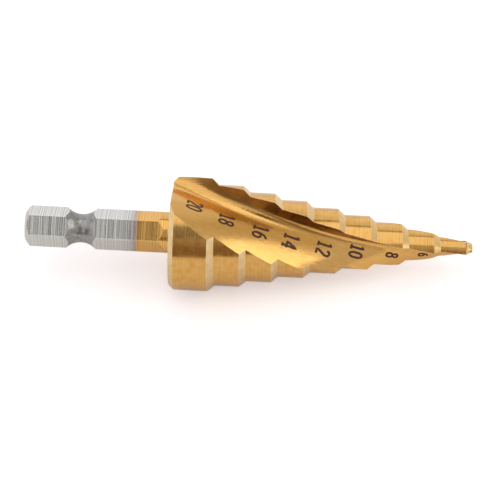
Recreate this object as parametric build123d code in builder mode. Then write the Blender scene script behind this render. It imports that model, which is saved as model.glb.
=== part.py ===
from build123d import *
from math import cos, hypot, radians, sin, sqrt, tan
import os

# Heights along the drill, from the end of the shank to the point
cone_back = 25.5
first_step_front = 32.4
step_pitch = 5.6
back_chamfer = 0.85
shoulder_length = 1.15
point_angle = 118.0

# Nine steps, each two millimetres less than the last, falling away behind the cutting edges
largest_diameter = 20.0
diameter_step = 2.0
step_count = 9
land_relief = 0.3
shoulder_relief = 0.55

# Hexagonal quick-change shank turned from round bar, with a groove for the holder's balls
across_flats = 6.35
flat_count = 6
shank_diameter = 7.18
end_diameter = 5.2
end_bevel = 0.8
groove_height = 9.8
groove_diameter = 5.0
groove_arc = 3.66
flat_end = 23.8
mill_radius = 3.0
mill_slope = 45.0
neck_fillet = 0.5
hex_turn = -2.0

# Two right-hand spiral flutes, shallow at the back and wider in proportion near the point
flute_count = 2
flute_lead = 138.0
first_edge_turn = -77.5
opening_at_back = 87.0
opening_growth = 33.0
opening_power = 3
rake_at_back = 0.28
rake_deepest = 0.56
rake_deepest_at = 0.6
root_share = 0.25
floor_bend = 41.0
floor_run_on = 0.45
section_count = 13
cutter_margin = 1.0

# Lying on the corners of the larger steps, with the shank in the air
rest_tilt = 3.792
rest_roll = 39.914
rest_height = 10.781

largest_radius = largest_diameter / 2
radius_step = diameter_step / 2
radius_taper = radius_step / step_pitch
last_front = first_step_front + (step_count - 1) * step_pitch
last_radius = largest_radius - (step_count - 1) * radius_step
point_height = last_front + last_radius / tan(radians(point_angle / 2))
shank_radius = shank_diameter / 2
end_radius = end_diameter / 2
flat_radius = across_flats / 2

# The drill's own plane: its Z runs from the shank to the point, which leans down along +X
tilt = radians(rest_tilt)
roll = radians(rest_roll)
lay = Plane(
    origin=((end_radius * sin(tilt) - point_height * cos(tilt)) / 2, 0, rest_height),
    x_dir=(sin(tilt) * cos(roll), -sin(roll), cos(tilt) * cos(roll)),
    z_dir=(cos(tilt), 0, -sin(tilt)),
)
upright = Location((0, 0, 0), (90, 0, 0))
drill_axis = Axis(lay.origin, lay.z_dir)


def edge_turn(height):
    return first_edge_turn + 360 * (height - first_step_front) / flute_lead


# Two circles set off either side of the axis cross at the two cutting edges
def relieved_disc(height, radius, turn, offset):
    with BuildSketch(lay.moved(Location((0, 0, height)))) as disc:
        with PolarLocations(offset, 1, start_angle=turn + 90):
            Circle(hypot(radius, offset))
        with PolarLocations(offset, 1, start_angle=turn - 90):
            Circle(hypot(radius, offset), mode=Mode.INTERSECT)
    return disc.sketch


# A relieved disc cut off in front by its sloping shoulder, which is relieved further
def step_block(back, front, radius, turn):
    slope = radius_step / shoulder_length
    with BuildPart() as block:
        extrude(relieved_disc(back, radius, turn, land_relief), amount=front - back + shoulder_length)
        loft(
            [
                relieved_disc(back, radius + (front - back) * slope, turn, shoulder_relief),
                relieved_disc(front + shoulder_length, radius - radius_step, turn, shoulder_relief),
            ],
            ruled=True,
            mode=Mode.INTERSECT,
        )
    return block.part


# The opening of a flute at one height: a rake face towards the axis, a round root and a bowed floor
def flute_section(height, turn):
    share = max(0, (height - cone_back) / (point_height - cone_back))
    radius = largest_radius - radius_taper * (height - first_step_front)
    opening = radians(opening_at_back + opening_growth * share**opening_power)
    rake_share = rake_deepest - (rake_deepest - rake_at_back) * (share / rake_deepest_at - 1) ** 2
    root = Vector((1 - rake_share) * radius, 0)
    heel = Vector(radius * cos(opening), radius * sin(opening))
    chord = heel - root
    outward = Vector(chord.Y, -chord.X)
    middle = root + (chord + outward * tan(radians(floor_bend / 4))) / 2
    bend = radians(floor_bend / 2)
    beyond = heel + (chord * cos(bend) - outward * sin(bend)) * floor_run_on
    clear = radius + radius_step + cutter_margin
    with BuildSketch(lay.moved(Location((0, 0, height), (0, 0, edge_turn(height) + turn)))) as section:
        with BuildLine():
            Line((clear, 0), root)
            ThreePointArc(root, middle, heel)
            Polyline(heel, beyond, (clear, beyond.Y), (clear, 0))
        make_face()
        fillet(section.vertices().sort_by_distance(root)[0], root_share * radius)
    return section.sketch


blocks = []
for step in range(step_count):
    front = first_step_front + step * step_pitch
    back = front - step_pitch if step else cone_back + back_chamfer
    radius = largest_radius - step * radius_step
    blocks.append(step_block(back, front, radius, edge_turn(front)))

with BuildPart() as step_drill:
    # Round bar of the shank with its bevelled end, groove and a fillet under the cone
    groove_floor = groove_diameter / 2
    groove_half = sqrt(groove_arc**2 - (groove_floor + groove_arc - shank_radius) ** 2)
    neck_radius = shank_radius + neck_fillet
    with BuildSketch(lay.moved(upright)):
        with BuildLine():
            Polyline(
                (shank_radius, groove_height - groove_half),
                (shank_radius, end_bevel),
                (end_radius, 0),
                (0, 0),
                (0, cone_back + back_chamfer),
                (neck_radius, cone_back + back_chamfer),
                (neck_radius, cone_back),
            )
            TangentArc(
                (neck_radius, cone_back),
                (shank_radius, cone_back - neck_fillet),
                tangent=(-1, 0),
            )
            Line((shank_radius, cone_back - neck_fillet), (shank_radius, groove_height + groove_half))
            ThreePointArc(
                (shank_radius, groove_height + groove_half),
                (groove_floor, groove_height),
                (shank_radius, groove_height - groove_half),
            )
        make_face()
    revolve(axis=drill_axis)
    # Six flats, each milled by a tapered cutter that leaves a round run-out at the neck
    for flat in range(flat_count):
        turned = lay.moved(Location((0, 0, 0), (0, 0, hex_turn + 360 * flat / flat_count)))
        middle = turned.from_local_coords(Vector(flat_radius, 0, 0))
        with BuildSketch(Plane(origin=middle, x_dir=turned.z_dir, z_dir=turned.x_dir)):
            with Locations((flat_end - mill_radius, 0)):
                Circle(mill_radius)
            with Locations(((flat_end - mill_radius - cutter_margin) / 2, 0)):
                Rectangle(flat_end - mill_radius + cutter_margin, 2 * mill_radius)
        extrude(amount=shank_radius - flat_radius + cutter_margin, taper=-mill_slope, mode=Mode.SUBTRACT)
    # Chamfered back rim of the largest step, and the steps in front of it
    first_turn = edge_turn(first_step_front)
    loft(
        [
            relieved_disc(cone_back, largest_radius - back_chamfer, first_turn, land_relief),
            relieved_disc(cone_back + back_chamfer, largest_radius, first_turn, land_relief),
        ],
        ruled=True,
    )
    add(blocks)
    # Point
    with BuildSketch(lay.moved(upright)):
        with BuildLine():
            Polyline((0, last_front), (last_radius, last_front), (0, point_height), close=True)
        make_face()
    revolve(axis=drill_axis)
    # Flutes cut through every step and out at both ends of the cone
    first = cone_back - cutter_margin
    spacing = (point_height + cutter_margin - first) / (section_count - 1)
    for flute in range(flute_count):
        turn = 360 * flute / flute_count
        sections = [flute_section(first + spacing * i, turn) for i in range(section_count)]
        loft(sections, mode=Mode.SUBTRACT)

step_drill.part.label = "step_drill"
os.makedirs("parts", exist_ok=True)
export_step(step_drill.part, "parts/step_drill.step")
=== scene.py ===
import math

import bmesh
import bpy
from mathutils import Matrix, Vector


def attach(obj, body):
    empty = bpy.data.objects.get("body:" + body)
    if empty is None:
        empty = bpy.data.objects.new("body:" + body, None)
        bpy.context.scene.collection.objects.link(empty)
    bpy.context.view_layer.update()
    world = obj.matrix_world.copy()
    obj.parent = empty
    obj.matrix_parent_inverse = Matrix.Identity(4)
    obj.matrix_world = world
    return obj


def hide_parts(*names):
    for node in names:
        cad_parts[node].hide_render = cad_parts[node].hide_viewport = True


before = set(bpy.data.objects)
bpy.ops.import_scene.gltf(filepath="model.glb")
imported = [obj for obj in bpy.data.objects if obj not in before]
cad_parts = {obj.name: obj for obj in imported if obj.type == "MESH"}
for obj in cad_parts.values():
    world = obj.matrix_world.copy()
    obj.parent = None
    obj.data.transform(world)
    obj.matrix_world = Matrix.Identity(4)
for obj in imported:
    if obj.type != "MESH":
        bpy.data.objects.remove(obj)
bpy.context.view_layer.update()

# The photographer's table: a wide sweep of matt white paper that the drill lies on. The lens sees the paper
# a little nearer to burnt out than the drill does, which leaves only a soft shadow, as in the photograph.
sweep_reach = 6.0
sweep_roughness = 0.9
sweep_white = (0.94, 0.92, 0.91, 1)
sweep_white_seen = (0.81, 0.765, 0.79, 1)
sweep_glow = (1, 0.99, 1, 1)
sweep_glow_seen = 0.40


def feed(tree, socket, value):
    if isinstance(value, bpy.types.NodeSocket):
        tree.links.new(value, socket)
    else:
        socket.default_value = value


def add_node(tree, kind, inputs=None, **settings):
    node = tree.nodes.new(kind)
    for name, value in settings.items():
        setattr(node, name, value)
    for key, value in (inputs or {}).items():
        feed(tree, node.inputs[key], value)
    return node


def math_node(tree, operation, *values):
    return add_node(tree, "ShaderNodeMath", dict(enumerate(values)), operation=operation).outputs[0]


def mix_colours(tree, share, first, second, blend="MIX"):
    inputs = {0: share, 6: first, 7: second}
    return add_node(tree, "ShaderNodeMix", inputs, data_type="RGBA", blend_type=blend).outputs[2]


def new_material(name, **looks):
    material = bpy.data.materials.new(name)
    material.use_nodes = True
    shader = material.node_tree.nodes["Principled BSDF"]
    for look, value in looks.items():
        shader.inputs[look.replace("_", " ")].default_value = value
    return material, material.node_tree, shader


white_sweep, tree, shader = new_material(
    "white_sweep", Roughness=sweep_roughness, Specular_IOR_Level=0.0, Emission_Color=sweep_glow
)
lens_sees = add_node(tree, "ShaderNodeLightPath").outputs["Is Camera Ray"]
feed(tree, shader.inputs["Base Color"], mix_colours(tree, lens_sees, sweep_white, sweep_white_seen))
feed(tree, shader.inputs["Emission Strength"], math_node(tree, "MULTIPLY", lens_sees, sweep_glow_seen))

scene = bpy.context.scene
scene.view_settings.view_transform = "Standard"
table_mesh = bpy.data.meshes.new("table")
corners = [(x * sweep_reach, y * sweep_reach, 0) for x, y in ((-1, -1), (1, -1), (1, 1), (-1, 1))]
table_mesh.from_pydata(corners, [], [(0, 1, 2, 3)])
table_mesh.materials.append(white_sweep)
table = bpy.data.objects.new("table", table_mesh)
scene.collection.objects.link(table)

# The studio round the drill is one soft world of white boards with dark gaps between them. A card spans an
# angle about the drill's length, where 0 is the photographer's side, 90 straight up and 180 behind, and a
# share of the way from the left, -1, to the right, 1. A later card lies in front of an earlier one.
room_light = (0.70, 0.693, 0.686, 1)
room_seen = (0.98, 0.975, 0.97, 1)
quarter_turn = 90.0
full_turn = 360.0


def between(tree, value, low, high, soft):
    edges = [
        add_node(
            tree,
            "ShaderNodeMapRange",
            {"Value": value, "From Min": outside, "From Max": inside},
            interpolation_type="SMOOTHSTEP",
        ).outputs["Result"]
        for outside, inside in ((low - soft, low + soft), (high + soft, high - soft))
    ]
    return math_node(tree, "MULTIPLY", *edges)


world = bpy.data.worlds.new("soft_studio")
world.use_nodes = True
scene.world = world
studio = world.node_tree
toward = add_node(studio, "ShaderNodeTexCoord").outputs["Generated"]
rightward, backward, upward = add_node(studio, "ShaderNodeSeparateXYZ", {0: toward}).outputs
forward = math_node(studio, "MULTIPLY", backward, -1.0)
angle = math_node(studio, "DEGREES", math_node(studio, "ARCTAN2", upward, forward))
turned_angle = math_node(studio, "FLOORED_MODULO", math_node(studio, "ADD", angle, quarter_turn), full_turn)
light = room_light
for low, high, soft, left, right, soft_side, level in (
    # The grey wall in front of the table, and the dark room under it that the steps reflect as a brown band
    (26, 60, 3, -0.66, 0.20, 0.05, (0.62, 0.60, 0.56)),
    (18, 37, 6, -0.28, 0.15, 0.06, (0.40, 0.33, 0.27)),
    (-8, 24, 3, -0.28, 0.15, 0.06, (0.29, 0.205, 0.145)),
    # The dark room at the left, which the rake face reflects, and the board that brightens the flute's root
    (0, 47, 5, -0.84, -0.46, 0.05, (0.30, 0.23, 0.17)),
    (22, 64, 5, -0.44, -0.17, 0.03, (1.10, 1.07, 1.03)),
    # The large softbox overhead, in two parts, and the thin dark edge behind it
    (48, 122, 4, -0.68, -0.19, 0.04, (1.20, 1.18, 1.15)),
    (63, 122, 2, -0.16, 0.20, 0.05, (1.40, 1.385, 1.37)),
    (124.5, 129, 1, -0.30, 0.15, 0.05, (0.14, 0.11, 0.08)),
    # The wall behind the softbox, and the ceiling between it and the light at the right
    (130, 150, 2, -0.60, 0.15, 0.05, (1.04, 1.05, 1.06)),
    (60, 150, 5, 0.20, 0.49, 0.03, (0.66, 0.60, 0.46)),
    # The sweep where it rises behind the table, darker towards the right
    (150, 262, 4, -0.95, 0.22, 0.05, (1.12, 1.11, 1.10)),
    (150, 262, 4, 0.22, 0.95, 0.05, (0.86, 0.84, 0.80)),
    # The bright light at the right, which the heels of the flutes reflect, and the boards at both ends
    (40, 119, 3, 0.545, 1.50, 0.025, (1.90, 1.88, 1.80)),
    (-40, 40, 8, 0.80, 1.50, 0.05, (1.05, 1.04, 1.03)),
    (-40, 220, 8, -1.50, -0.78, 0.05, (1.05, 1.04, 1.03)),
    # The camera's own dark stand, over the flat of the shank that faces it
    (38, 68, 2, -0.155, 0.0, 0.012, (0.03, 0.03, 0.03)),
):
    over = between(studio, turned_angle, low + quarter_turn, high + quarter_turn, soft)
    along_table = between(studio, rightward, left, right, soft_side)
    light = mix_colours(studio, math_node(studio, "MULTIPLY", over, along_table), light, (*level, 1))
lens_sees = add_node(studio, "ShaderNodeLightPath").outputs["Is Camera Ray"]
feed(studio, studio.nodes["Background"].inputs["Color"], mix_colours(studio, lens_sees, light, room_seen))

# The photographer stands in front and looks down at the drill through a long lens, with the camera a few
# degrees off level.
looked_at = Vector((0.00028, -0.00178, 0.00668))
camera_azimuth = math.radians(5.754)
camera_elevation = math.radians(49.848)
camera_roll = math.radians(-3.902)
camera_distance = 0.351
lens_mm = 144
sensor_mm = 36

camera_data = bpy.data.cameras.new("camera")
camera_data.lens = lens_mm
camera_data.sensor_width = sensor_mm
camera = bpy.data.objects.new("camera", camera_data)
camera.matrix_world = (
    Matrix.Translation(looked_at)
    @ Matrix.Rotation(camera_azimuth, 4, "Z")
    @ Matrix.Rotation(math.pi / 2 - camera_elevation, 4, "X")
    @ Matrix.Rotation(camera_roll, 4, "Z")
    @ Matrix.Translation((0, 0, camera_distance))
)
scene.collection.objects.link(camera)
scene.camera = camera

# The drill itself, in one piece: turned from bar, its flutes and hexagon ground in, then coated with
# gold-coloured nitride from the point down to the last third of the flats. Its heights are in millimetres
# from the end of the shank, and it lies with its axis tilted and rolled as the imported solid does.
rest_tilt = math.radians(3.792)
rest_roll = math.radians(39.914)
shank_end = Vector((-0.039029, 0, 0.010781))
cone_back = 25.5
first_front = 32.4
first_radius = 10.0
step_pitch = 5.6
flute_lead = 138.0
first_edge = math.radians(-77.5)
groove_height = 9.8
groove_half = 2.62
metres_per_mm = 0.001

along = Vector((math.cos(rest_tilt), 0, -math.sin(rest_tilt)))
across = Vector(
    (
        math.sin(rest_tilt) * math.cos(rest_roll),
        -math.sin(rest_roll),
        math.cos(rest_tilt) * math.cos(rest_roll),
    )
)
drill_turn = Matrix((across, along.cross(across), along)).transposed().to_euler()
untwist = -math.tau / flute_lead


def new_group(kind, name, inputs, outputs):
    tree = bpy.data.node_groups.new(name, kind)
    for socket, (socket_kind, value) in inputs.items():
        made = tree.interface.new_socket(socket, in_out="INPUT", socket_type="NodeSocket" + socket_kind)
        if value is not None:
            made.default_value = value
    for socket, socket_kind in outputs.items():
        tree.interface.new_socket(socket, in_out="OUTPUT", socket_type="NodeSocket" + socket_kind)
    return tree, add_node(tree, "NodeGroupInput").outputs, add_node(tree, "NodeGroupOutput").inputs


# Where a point lies on the drill, in millimetres: height from the shank end, radius, turn and the three axes
place, _, result = new_group(
    "ShaderNodeTree",
    "place_on_drill",
    {},
    {"Height": "Float", "Radius": "Float", "Turn": "Float", "Place": "Vector"},
)
here = add_node(place, "ShaderNodeTexCoord").outputs["Object"]
on_drill = add_node(
    place,
    "ShaderNodeMapping",
    {"Vector": here, "Location": shank_end, "Rotation": drill_turn, "Scale": (metres_per_mm,) * 3},
    vector_type="TEXTURE",
).outputs[0]
x, y, height = add_node(place, "ShaderNodeSeparateXYZ", {0: on_drill}).outputs
squares = math_node(place, "ADD", math_node(place, "MULTIPLY", x, x), math_node(place, "MULTIPLY", y, y))
feed(place, result["Height"], height)
feed(place, result["Radius"], math_node(place, "SQRT", squares))
feed(place, result["Turn"], math_node(place, "ARCTAN2", y, x))
feed(place, result["Place"], on_drill)


def noise_node(tree, place, scale, detail, roughness=0.5):
    inputs = {"Vector": place, "Scale": scale, "Detail": detail, "Roughness": roughness}
    return add_node(tree, "ShaderNodeTexNoise", inputs).outputs["Fac"]


def range_node(tree, value, low, high, to_low=0.0, to_high=1.0):
    inputs = {"Value": value, "From Min": low, "From Max": high, "To Min": to_low, "To Max": to_high}
    return add_node(tree, "ShaderNodeMapRange", inputs).outputs["Result"]


def vector_node(tree, operation, *vectors):
    return add_node(tree, "ShaderNodeVectorMath", dict(enumerate(vectors)), operation=operation).outputs


# Rings left by the turning tool, all round the drill, and the faint cloudiness of the coating
ring_wander = 0.08
ring_roughness = 0.6
wander_scale = 0.5
mottle_scale = 0.8
mottle_roughness = 0.55
rings, given, result = new_group(
    "ShaderNodeTree",
    "tool_rings",
    {"Height": ("Float", 0.0), "Place": ("Vector", (0, 0, 0)), "Fineness": ("Float", 4.0)},
    {"Rings": "Float", "Mottle": "Float"},
)
wander = noise_node(rings, given["Place"], wander_scale, 1)
ring_height = math_node(rings, "MULTIPLY_ADD", wander, ring_wander, given["Height"])
ring_number = math_node(rings, "MULTIPLY", ring_height, given["Fineness"])
fine = add_node(
    rings,
    "ShaderNodeTexNoise",
    {"W": ring_number, "Scale": 1.0, "Detail": 2, "Roughness": ring_roughness},
    noise_dimensions="1D",
).outputs["Fac"]
feed(rings, result["Rings"], fine)
feed(rings, result["Mottle"], noise_node(rings, given["Place"], mottle_scale, 3, mottle_roughness))

# Edges rubbed bright in patches, found by how far a small rounding would turn the surface there
turn_of_edge = (0.995, 0.90)
worn_share = (0.46, 0.60)
wear, given, result = new_group(
    "ShaderNodeTree",
    "edge_wear",
    {"Place": ("Vector", (0, 0, 0)), "Width": ("Float", 0.00012), "Patchiness": ("Float", 2.5)},
    {"Wear": "Float"},
)
rounded = add_node(wear, "ShaderNodeBevel", {"Radius": given["Width"]}, samples=6).outputs[0]
unrounded = add_node(wear, "ShaderNodeNewGeometry").outputs["Normal"]
near_edge = range_node(wear, vector_node(wear, "DOT_PRODUCT", rounded, unrounded)["Value"], *turn_of_edge)
patches = range_node(wear, noise_node(wear, given["Place"], given["Patchiness"], 3), *worn_share)
feed(wear, result["Wear"], math_node(wear, "MULTIPLY", near_edge, patches))

# Long streaks that the grinding wheel leaves along a flute
streak_squeeze = 0.045
streak_scale = 5.0
streak_roughness = 0.62
broad_scale = 0.9
lie = {"Height": ("Float", 0.0), "Radius": ("Float", 0.0), "Turn": ("Float", 0.0)}
streaks, given, result = new_group(
    "ShaderNodeTree", "grinding_streaks", lie, {"Streaks": "Float", "Broad": "Float"}
)
untwisted = math_node(streaks, "MULTIPLY_ADD", given["Height"], untwist, given["Turn"])
along_flute = add_node(
    streaks,
    "ShaderNodeCombineXYZ",
    {
        0: math_node(streaks, "MULTIPLY", math_node(streaks, "SINE", untwisted), given["Radius"]),
        1: math_node(streaks, "MULTIPLY", math_node(streaks, "COSINE", untwisted), given["Radius"]),
        2: math_node(streaks, "MULTIPLY", given["Height"], streak_squeeze),
    },
).outputs[0]
feed(streaks, result["Streaks"], noise_node(streaks, along_flute, streak_scale, 4, streak_roughness))
feed(streaks, result["Broad"], noise_node(streaks, along_flute, broad_scale, 2))

# Painted shade on a flute's rake face and in the root beside it, darkening them as shadow would, together
# with the dark stain the flute has there where no wheel polishes it
shade_and_stain_reach = (0.035, 0.005)
clear_of_rim = (30.0, 37.0)
behind_rake = 0.3
root_shade_and_stain, given, result = new_group("ShaderNodeTree", "flute_root", lie, {"Shade and stain": "Float"})
past_edge = math_node(
    root_shade_and_stain,
    "ADD",
    math_node(root_shade_and_stain, "MULTIPLY_ADD", given["Height"], untwist, given["Turn"]),
    behind_rake - first_edge - untwist * first_front,
)
past_nearest = math_node(
    root_shade_and_stain, "SUBTRACT", math_node(root_shade_and_stain, "FLOORED_MODULO", past_edge, math.pi), behind_rake
)
from_rake = math_node(root_shade_and_stain, "MULTIPLY", math_node(root_shade_and_stain, "SINE", past_nearest), given["Radius"])
cone_radius = math_node(
    root_shade_and_stain, "MULTIPLY_ADD", given["Height"], -1 / step_pitch, first_radius + first_front / step_pitch
)
in_root = range_node(root_shade_and_stain, math_node(root_shade_and_stain, "DIVIDE", from_rake, cone_radius), *shade_and_stain_reach)
off_the_rim = range_node(root_shade_and_stain, given["Height"], *clear_of_rim)
feed(root_shade_and_stain, result["Shade and stain"], math_node(root_shade_and_stain, "MULTIPLY", in_root, off_the_rim))


def ramp_node(tree, value, first, *stops):
    ramp = add_node(tree, "ShaderNodeValToRGB", {"Fac": value})
    elements = ramp.color_ramp.elements
    for element, (position, colour) in zip(elements, (first, stops[-1])):
        element.position = position
        element.color = colour
    for position, colour in stops[:-1]:
        elements.new(position).color = colour
    return ramp.outputs["Color"]


def use_group(tree, group, spot=(), **values):
    node = add_node(tree, "ShaderNodeGroup", values, node_tree=group)
    for name in node.inputs.keys():
        if name in spot:
            feed(tree, node.inputs[name], spot[name])
    return node.outputs


def rub_edges(tree, shader, spot, tone, rubbed, share=1.0):
    worn = math_node(tree, "MULTIPLY", use_group(tree, wear, spot)["Wear"], share)
    feed(tree, shader.inputs["Base Color"], mix_colours(tree, worn, tone, rubbed))


def emboss(tree, shader, height, depth):
    bump = add_node(tree, "ShaderNodeBump", {"Strength": 1.0, "Distance": depth, "Height": height})
    feed(tree, shader.inputs["Normal"], bump.outputs[0])


gold = (0.72, 0.415, 0.125, 1)
pale_gold = (0.75, 0.455, 0.155, 1)
brown_gold = (0.66, 0.355, 0.095, 1)
rubbed_gold = (0.86, 0.80, 0.70, 1)
mottle_spread = (0.3, 0.7)

# Coating over turned metal: the lands of the steps
between_rings = (0.88, 0.86, 0.84, 1)
turned_roughness = (0.13, 0.20)
turned_depth = 0.000006
turned_gold, tree, shader = new_material("turned_gold", Metallic=1.0)
spot = use_group(tree, place)
marks = use_group(tree, rings, spot, Fineness=4.0)
tone = ramp_node(tree, marks["Mottle"], (0.3, brown_gold), (0.5, gold), (0.7, pale_gold))
ringed = ramp_node(tree, marks["Rings"], (0.3, between_rings), (0.7, (1, 1, 1, 1)))
rub_edges(tree, shader, spot, mix_colours(tree, 1.0, tone, ringed, "MULTIPLY"), rubbed_gold)
feed(tree, shader.inputs["Roughness"], range_node(tree, marks["Mottle"], *mottle_spread, *turned_roughness))
emboss(tree, shader, marks["Rings"], turned_depth)

# The shoulders, the point and the back of the cone with its rim get a paler, slightly rougher gold than the
# lands, and less pale on the small steps
satin_dull = (0.72, 0.50, 0.24, 1)
satin_pale = (0.81, 0.61, 0.35, 1)
satin_small = (0.78, 0.50, 0.185, 1)
small_steps = (46.0, 60.0)
small_share = 0.8
satin_gold, tree, shader = new_material("satin_gold", Metallic=1.0, Roughness=0.22)
spot = use_group(tree, place)
marks = use_group(tree, rings, spot, Fineness=4.0)
tone = ramp_node(tree, marks["Mottle"], (0.3, satin_dull), (0.7, satin_pale))
towards_point = range_node(tree, spot["Height"], *small_steps, 0.0, small_share)
rub_edges(tree, shader, spot, mix_colours(tree, towards_point, tone, satin_small), rubbed_gold)

# Coating over ground metal: the two flutes
ground_dark = (0.67, 0.365, 0.10, 1)
ground_middle = (0.72, 0.41, 0.125, 1)
ground_light = (0.76, 0.455, 0.155, 1)
# Darkening multiplied into the flute's root: painted shade, partly real stain
shade_and_stain_tone = (0.46, 0.44, 0.46, 1)
broad_spread = (0.3, 0.7)
ground_roughness = (0.11, 0.19)
ground_depth = 0.000015
ground_gold, tree, shader = new_material("ground_gold", Metallic=1.0)
spot = use_group(tree, place)
grind = use_group(tree, streaks, spot)
tone = ramp_node(tree, grind["Streaks"], (0.3, ground_dark), (0.5, ground_middle), (0.72, ground_light))
# The root and rake face are darkened here with painted shade, partly real stain
tone = mix_colours(tree, use_group(tree, root_shade_and_stain, spot)["Shade and stain"], tone, shade_and_stain_tone, "MULTIPLY")
rub_edges(tree, shader, spot, tone, rubbed_gold)
feed(tree, shader.inputs["Roughness"], range_node(tree, grind["Broad"], *broad_spread, *ground_roughness))
emboss(tree, shader, grind["Streaks"], ground_depth)

# Bare steel shank with milling lines across it, and the edge of the coating with its heat tint
bare_steel = (0.60, 0.60, 0.588, 1)
warm_steel = (0.55, 0.54, 0.54, 1)
tinted_steel = (0.44, 0.39, 0.38, 1)
rubbed_shank = (0.95, 0.94, 0.92, 1)
coating_edge = (17.1, 20.8)
edge_waver = 0.9
wear_left_on_coating = 0.1
line_spread = (0.25, 0.75)
line_light = (0.72, 1.22)
shank_roughness = (0.12, 0.18)
line_depth = 0.00003
shank_steel, tree, shader = new_material("shank_steel", Metallic=1.0)
spot = use_group(tree, place)
marks = use_group(tree, rings, spot, Fineness=5.0)
waver = noise_node(tree, spot["Place"], 0.9, 2)
edge_height = math_node(tree, "MULTIPLY_ADD", waver, edge_waver, spot["Height"])
fade = ramp_node(
    tree,
    range_node(tree, edge_height, *coating_edge),
    (0.0, bare_steel),
    (0.46, warm_steel),
    (0.72, tinted_steel),
    (0.87, brown_gold),
    (1.0, gold),
)
lines = range_node(tree, marks["Rings"], *line_spread, *line_light)
lit = add_node(tree, "ShaderNodeCombineColor", {0: lines, 1: lines, 2: lines}).outputs[0]
milled = mix_colours(tree, 1.0, fade, lit, "MULTIPLY")
bare = range_node(tree, edge_height, *coating_edge, 1.0, wear_left_on_coating)
rub_edges(tree, shader, spot, milled, rubbed_shank, bare)
feed(tree, shader.inputs["Roughness"], range_node(tree, marks["Mottle"], *mottle_spread, *shank_roughness))
emboss(tree, shader, marks["Rings"], line_depth)

# The groove for the holder's balls, left from the forming tool and duller than the flats
groove_dark = (0.22, 0.22, 0.222, 1)
groove_light = (0.39, 0.39, 0.385, 1)
speckle_scale = 1.9
speckle_roughness = 0.7
speckle_depth = 0.00002
groove_steel, tree, shader = new_material("groove_steel", Metallic=1.0, Roughness=0.27)
spot = use_group(tree, place)
speckle = noise_node(tree, spot["Place"], speckle_scale, 4, speckle_roughness)
feed(tree, shader.inputs["Base Color"], ramp_node(tree, speckle, (0.35, groove_dark), (0.7, groove_light)))
emboss(tree, shader, speckle, speckle_depth)

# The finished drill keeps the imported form. Its triangles are merged, and an edge stays sharp only where it
# bends and was the rim of a face of the solid.
finish, given, result = new_group(
    "GeometryNodeTree",
    "finished_drill",
    {
        "Blank": ("Object", None),
        "Shank end": ("Vector", shank_end),
        "Drill turn": ("Rotation", drill_turn),
        "Cone back": ("Float", cone_back),
        "Groove height": ("Float", groove_height),
        "Groove half": ("Float", groove_half),
        "Weld": ("Float", 0.000002),
        "Sharp angle": ("Float", math.radians(12)),
    },
    {"Drill": "Geometry"},
)
blank = add_node(finish, "GeometryNodeObjectInfo", {"Object": given["Blank"]})
faces_beside = add_node(finish, "GeometryNodeInputMeshEdgeNeighbors").outputs[0]
on_rim_of_face = add_node(
    finish, "FunctionNodeCompare", {2: faces_beside, 3: 1}, data_type="INT", operation="EQUAL"
)
marked = add_node(
    finish,
    "GeometryNodeStoreNamedAttribute",
    {"Geometry": blank.outputs["Geometry"], "Name": "seam", "Value": on_rim_of_face.outputs[0]},
    data_type="BOOLEAN",
    domain="EDGE",
)
plain = add_node(
    finish, "GeometryNodeRemoveAttribute", {"Geometry": marked.outputs[0], "Name": "custom_normal"}
)
welded = add_node(
    finish, "GeometryNodeMergeByDistance", {"Geometry": plain.outputs[0], "Distance": given["Weld"]}
)
bends = add_node(
    finish,
    "FunctionNodeCompare",
    {0: add_node(finish, "GeometryNodeInputMeshEdgeAngle").outputs[0], 1: given["Sharp angle"]},
    data_type="FLOAT",
    operation="GREATER_THAN",
)
was_rim = add_node(finish, "GeometryNodeInputNamedAttribute", {"Name": "seam"}, data_type="BOOLEAN")
is_sharp = add_node(
    finish, "FunctionNodeBooleanMath", {0: bends.outputs[0], 1: was_rim.outputs[0]}, operation="AND"
)
is_smooth = add_node(finish, "FunctionNodeBooleanMath", {0: is_sharp.outputs[0]}, operation="NOT")
dressed = welded.outputs[0]
for domain, smooth in (("FACE", True), ("EDGE", is_smooth.outputs[0])):
    dressed = add_node(
        finish, "GeometryNodeSetShadeSmooth", {"Geometry": dressed, "Shade Smooth": smooth}, domain=domain
    ).outputs[0]

# Its lands, shoulders, flutes, flats and groove are told apart by where they lie and how they face
land_faces_out = 0.965
land_faces_ahead = 0.1
shoulder_faces_ahead = 0.45
rim_faces_ahead = -0.35
groove_faces_ahead = 0.02
turned_faces_from_axis = 0.93
rim_length = 0.9
cone_starts_before = 0.1
shank_stops_before = 0.2


def over(value, limit):
    return math_node(finish, "GREATER_THAN", value, limit)


def under(value, limit):
    return math_node(finish, "LESS_THAN", value, limit)


def product_of(value, *others):
    for other in others:
        value = math_node(finish, "MULTIPLY", value, other)
    return value


def sum_of(value, *others):
    for other in others:
        value = math_node(finish, "ADD", value, other)
    return value


def drill_frame(tree, given):
    inputs = {"Translation": given["Shank end"], "Rotation": given["Drill turn"]}
    return add_node(tree, "FunctionNodeCombineTransform", inputs).outputs[0]


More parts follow.
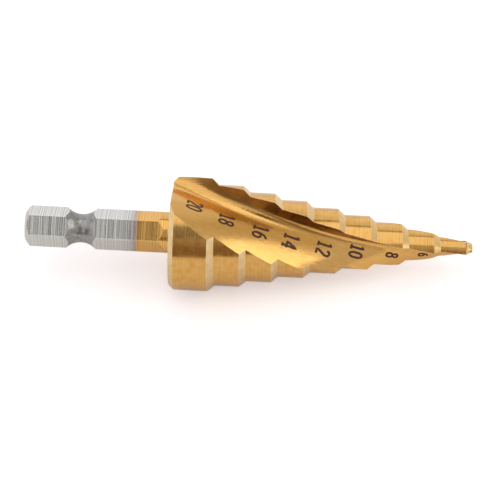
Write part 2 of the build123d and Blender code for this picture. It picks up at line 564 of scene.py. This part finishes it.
into_drill = add_node(finish, "FunctionNodeInvertMatrix", {0: drill_frame(finish, given)}).outputs[0]
position = add_node(finish, "GeometryNodeInputPosition").outputs[0]
normal = add_node(finish, "GeometryNodeInputNormal").outputs[0]
lies = add_node(finish, "FunctionNodeTransformPoint", {0: position, 1: into_drill}).outputs[0]
faces = add_node(finish, "FunctionNodeTransformDirection", {0: normal, 1: into_drill}).outputs[0]
x, y, height = add_node(finish, "ShaderNodeSeparateXYZ", {0: lies}).outputs
height_mm = math_node(finish, "MULTIPLY", height, 1 / metres_per_mm)
flat_place = add_node(finish, "ShaderNodeCombineXYZ", {0: x, 1: y}).outputs[0]
outwards = vector_node(finish, "NORMALIZE", flat_place)["Vector"]
faces_out = vector_node(finish, "DOT_PRODUCT", outwards, faces)["Value"]
faces_ahead = add_node(finish, "ShaderNodeSeparateXYZ", {0: faces}).outputs[2]
slope = math_node(finish, "ABSOLUTE", faces_ahead)
from_axis = sum_of(product_of(faces_out, faces_out), product_of(faces_ahead, faces_ahead))
from_groove = math_node(finish, "ABSOLUTE", math_node(finish, "SUBTRACT", height_mm, given["Groove height"]))
rim_end = math_node(finish, "ADD", given["Cone back"], rim_length)

in_cone = over(height_mm, math_node(finish, "SUBTRACT", given["Cone back"], cone_starts_before))
on_shank = under(math_node(finish, "ADD", height_mm, shank_stops_before), given["Cone back"])
in_groove = product_of(under(from_groove, given["Groove half"]), over(slope, groove_faces_ahead))
on_land = product_of(over(faces_out, land_faces_out), under(slope, land_faces_ahead))
on_shoulder = product_of(over(faces_ahead, shoulder_faces_ahead), over(from_axis, turned_faces_from_axis))
on_rim = product_of(
    under(faces_ahead, rim_faces_ahead),
    under(height_mm, rim_end),
    over(from_axis, turned_faces_from_axis),
)
in_flute = product_of(in_cone, under(sum_of(on_land, on_shoulder, on_rim), 0.5))
for metal, where in (
    (turned_gold, 1.0),
    (satin_gold, product_of(in_cone, sum_of(on_shoulder, on_rim))),
    (shank_steel, on_shank),
    (groove_steel, in_groove),
    (ground_gold, in_flute),
):
    inputs = {"Geometry": dressed, "Selection": over(where, 0.5), "Material": metal}
    dressed = add_node(finish, "GeometryNodeSetMaterial", inputs).outputs[0]
whole = add_node(finish, "GeometryNodeRealizeInstances", {"Geometry": dressed}).outputs[0]
feed(finish, result["Drill"], whole)


def made_by(tree, name, values):
    holder = bpy.data.objects.new(name + "_holder", bpy.data.meshes.new(name + "_holder"))
    scene.collection.objects.link(holder)
    modifier = holder.modifiers.new(name, "NODES")
    modifier.node_group = tree
    for item in tree.interface.items_tree:
        if item.in_out == "INPUT" and item.name in values:
            modifier[item.identifier] = values[item.name]
    graph = bpy.context.evaluated_depsgraph_get()
    mesh = bpy.data.meshes.new_from_object(
        holder.evaluated_get(graph), preserve_all_data_layers=True, depsgraph=graph
    )
    bpy.data.objects.remove(holder)
    mesh.name = name
    return mesh


drill = bpy.data.objects.new("drill", made_by(finish, "drill", {"Blank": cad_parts["step_drill"]}))
scene.collection.objects.link(drill)
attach(drill, "root")
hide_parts("step_drill")

# The step sizes in millimetres, burnt into the coating of the near flute by a laser, each beside its step,
# with their tops towards the point.
scorched = (0.045, 0.010, 0.008, 1)
half_scorched = (0.11, 0.035, 0.018, 1)
scorch_scale = 5.0
scorch_roughness = 0.6
burnt_numbers, tree, shader = new_material("burnt_numbers", Metallic=0.3, Roughness=0.55)
scorch = noise_node(tree, use_group(tree, place)["Place"], scorch_scale, 3, scorch_roughness)
feed(tree, shader.inputs["Base Color"], ramp_node(tree, scorch, (0.3, scorched), (0.72, half_scorched)))

# A ray from outside the drill finds a number's middle on the flute floor, and its flat plan is spread there
ray_start = 0.03
ray_length = 0.05
plan_above = 0.003
drop_length = 0.01
cuts_in_stroke = 6
laying, given, result = new_group(
    "GeometryNodeTree",
    "size_number",
    {
        "Drill": ("Object", None),
        "Strokes": ("Object", None),
        "Stroke width": ("Float", 0.00042),
        "Stroke thickness": ("Float", 0.00003),
        "Height on drill": ("Float", 0.03),
        "Turn on drill": ("Float", 0.0),
        "Slant": ("Float", 0.0),
        "Shank end": ("Vector", shank_end),
        "Drill turn": ("Rotation", drill_turn),
    },
    {"Number": "Geometry"},
)


steel = add_node(laying, "GeometryNodeObjectInfo", {"Object": given["Drill"]}).outputs["Geometry"]
out_of_drill = drill_frame(laying, given)


def scaled(vector, length):
    inputs = {0: vector, "Scale": length}
    return add_node(laying, "ShaderNodeVectorMath", inputs, operation="SCALE").outputs[0]


def product(first, second):
    return math_node(laying, "MULTIPLY", first, second)


def towards(x=0.0, y=0.0, z=0.0):
    way = add_node(laying, "ShaderNodeCombineXYZ", {0: x, 1: y, 2: z}).outputs[0]
    return add_node(laying, "FunctionNodeTransformDirection", {0: way, 1: out_of_drill}).outputs[0]


def cast(start, way, length):
    ray = {"Target Geometry": steel, "Source Position": start, "Ray Direction": way, "Ray Length": length}
    return add_node(laying, "GeometryNodeRaycast", ray).outputs


cosine = math_node(laying, "COSINE", given["Turn on drill"])
sine = math_node(laying, "SINE", given["Turn on drill"])
beside_drill = add_node(
    laying,
    "ShaderNodeCombineXYZ",
    {0: product(cosine, ray_start), 1: product(sine, ray_start), 2: given["Height on drill"]},
).outputs[0]
start = add_node(laying, "FunctionNodeTransformPoint", {0: beside_drill, 1: out_of_drill}).outputs[0]
landing = cast(start, scaled(towards(cosine, sine), -1.0), ray_length)
level = landing["Hit Normal"]
beside_axis = vector_node(laying, "CROSS_PRODUCT", towards(z=1.0), level)[0]
rightwards = vector_node(laying, "NORMALIZE", beside_axis)[0]
upwards = vector_node(laying, "CROSS_PRODUCT", level, rightwards)[0]

# Every stroke is a flat bar along its line, laid on the steel under it
strokes = add_node(laying, "GeometryNodeObjectInfo", {"Object": given["Strokes"]}).outputs["Geometry"]
short_lines = add_node(laying, "GeometryNodeSubdivideCurve", {"Curve": strokes, "Cuts": cuts_in_stroke})
flat_lines = add_node(
    laying, "GeometryNodeSetCurveNormal", {"Curve": short_lines.outputs[0]}, mode="Z_UP"
)
bar_end = add_node(
    laying,
    "GeometryNodeCurvePrimitiveQuadrilateral",
    {"Width": given["Stroke width"], "Height": given["Stroke thickness"]},
)
bars = add_node(
    laying,
    "GeometryNodeCurveToMesh",
    {"Curve": flat_lines.outputs[0], "Profile Curve": bar_end.outputs[0], "Fill Caps": True},
)
position = add_node(laying, "GeometryNodeInputPosition").outputs[0]
x, y, depth = add_node(laying, "ShaderNodeSeparateXYZ", {0: position}).outputs
lean_cosine = math_node(laying, "COSINE", given["Slant"])
lean_sine = math_node(laying, "SINE", given["Slant"])
sideways = math_node(laying, "ADD", product(x, lean_cosine), product(y, lean_sine))
tall = math_node(laying, "SUBTRACT", product(y, lean_cosine), product(x, lean_sine))
above = landing["Hit Position"]
for step in (scaled(level, plan_above), scaled(rightwards, sideways), scaled(upwards, tall)):
    above = vector_node(laying, "ADD", above, step)[0]
touched = cast(above, scaled(level, -1.0), drop_length)["Hit Position"]
on_steel = vector_node(laying, "ADD", touched, scaled(level, depth))[0]
laid = add_node(laying, "GeometryNodeSetPosition", {"Geometry": bars.outputs[0], "Position": on_steel})
faceted = add_node(
    laying, "GeometryNodeSetShadeSmooth", {"Geometry": laid.outputs[0], "Shade Smooth": False}
)
burnt = add_node(
    laying, "GeometryNodeSetMaterial", {"Geometry": faceted.outputs[0], "Material": burnt_numbers}
)
whole = add_node(laying, "GeometryNodeRealizeInstances", {"Geometry": burnt.outputs[0]}).outputs[0]
feed(laying, result["Number"], whole)

# Narrow block digits, one unit tall, as the laser writes them: closed loops, bows and straight lines
digit_narrowing = 0.86
digit_advance = 0.56
digit_gap = 0.18
digit_strokes = {
    "0": [
        (
            "loop",
            (
                (0.22, 1), (0.40, 0.84), (0.44, 0.5), (0.40, 0.16),
                (0.22, 0), (0.04, 0.16), (0, 0.5), (0.04, 0.84),
            ),
        ),
    ],
    "1": [("line", ((0.06, 0.82), (0.22, 0.99), (0.22, 0))), ("line", ((0.02, 0), (0.42, 0)))],
    "2": [
        (
            "bow",
            (
                (0.02, 0.78), (0.09, 0.95), (0.23, 1), (0.38, 0.93),
                (0.42, 0.75), (0.33, 0.52), (0.14, 0.24), (0.02, 0.02),
            ),
        ),
        ("line", ((0, 0), (0.44, 0))),
    ],
    "4": [("line", ((0.52, 0.28), (0, 0.28), (0.36, 1), (0.36, 0))), ("line", ((0.22, 0), (0.50, 0)))],
    "6": [
        (
            "bow",
            (
                (0.38, 0.97), (0.18, 0.86), (0.04, 0.60), (0, 0.30), (0.08, 0.06), (0.22, 0),
                (0.37, 0.07), (0.44, 0.29), (0.37, 0.50), (0.22, 0.56), (0.07, 0.47), (0, 0.30),
            ),
        ),
    ],
    "8": [
        ("loop", ((0.22, 1), (0.37, 0.93), (0.41, 0.76), (0.22, 0.54), (0.03, 0.76), (0.07, 0.93))),
        (
            "loop",
            (
                (0.22, 0.54), (0.40, 0.43), (0.44, 0.25), (0.38, 0.07),
                (0.22, 0), (0.06, 0.07), (0, 0.25), (0.04, 0.43),
            ),
        ),
    ],
}


def number_lines(number, tall_m):
    data = bpy.data.curves.new("number_lines", "CURVE")
    data.dimensions = "3D"
    full_width = digit_advance * len(number) - digit_gap
    for order, digit in enumerate(number):
        left = digit_advance * order - full_width / 2
        for kind, points in digit_strokes[digit]:
            straight = kind == "line"
            line = data.splines.new("POLY" if straight else "BEZIER")
            line.resolution_u = 2
            line.use_cyclic_u = kind == "loop"
            knots = line.points if straight else line.bezier_points
            knots.add(len(points) - 1)
            for knot, (x, y) in zip(knots, points):
                plan = ((digit_narrowing * x + left) * tall_m, (y - 0.5) * tall_m, 0)
                knot.co = (*plan, 1) if straight else plan
                if not straight:
                    knot.handle_left_type = "AUTO"
                    knot.handle_right_type = "AUTO"
    return bpy.data.objects.new("number_lines", data)


# Each number stands a little behind its step's front and some degrees past the cutting edge
largest_size = 20
size_step = 2
finest_stroke_mm = 0.25
stroke_growth = 0.07
all_numbers = bmesh.new()
for size, behind_front, past_edge, tall_mm, slant in (
    (20, 2.78, 41.8, 2.6, 5),
    (18, 2.70, 43.1, 2.5, 7),
    (16, 2.35, 44.3, 2.55, 9),
    (14, 2.61, 46.7, 2.6, 14),
    (12, 2.44, 49.6, 2.4, 14),
    (10, 2.32, 47.0, 2.25, 14),
    (8, 1.67, 55.7, 2.0, 12),
    (6, 1.76, 55.3, 1.7, 10),
):
    height = first_front + (largest_size - size) / size_step * step_pitch - behind_front
    turn = first_edge - untwist * (height - first_front) + math.radians(past_edge)
    lines = number_lines(str(size), tall_mm * metres_per_mm)
    scene.collection.objects.link(lines)
    number = made_by(
        laying,
        "number",
        {
            "Drill": drill,
            "Strokes": lines,
            "Stroke width": (finest_stroke_mm + stroke_growth * tall_mm) * metres_per_mm,
            "Height on drill": height * metres_per_mm,
            "Turn on drill": turn,
            "Slant": math.radians(slant),
        },
    )
    all_numbers.from_mesh(number)
    bpy.data.meshes.remove(number)
    line_data = lines.data
    bpy.data.objects.remove(lines)
    bpy.data.curves.remove(line_data)

numbers_mesh = bpy.data.meshes.new("size_numbers")
all_numbers.to_mesh(numbers_mesh)
all_numbers.free()
numbers_mesh.materials.append(burnt_numbers)
size_numbers = bpy.data.objects.new("size_numbers", numbers_mesh)
scene.collection.objects.link(size_numbers)
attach(size_numbers, "root")
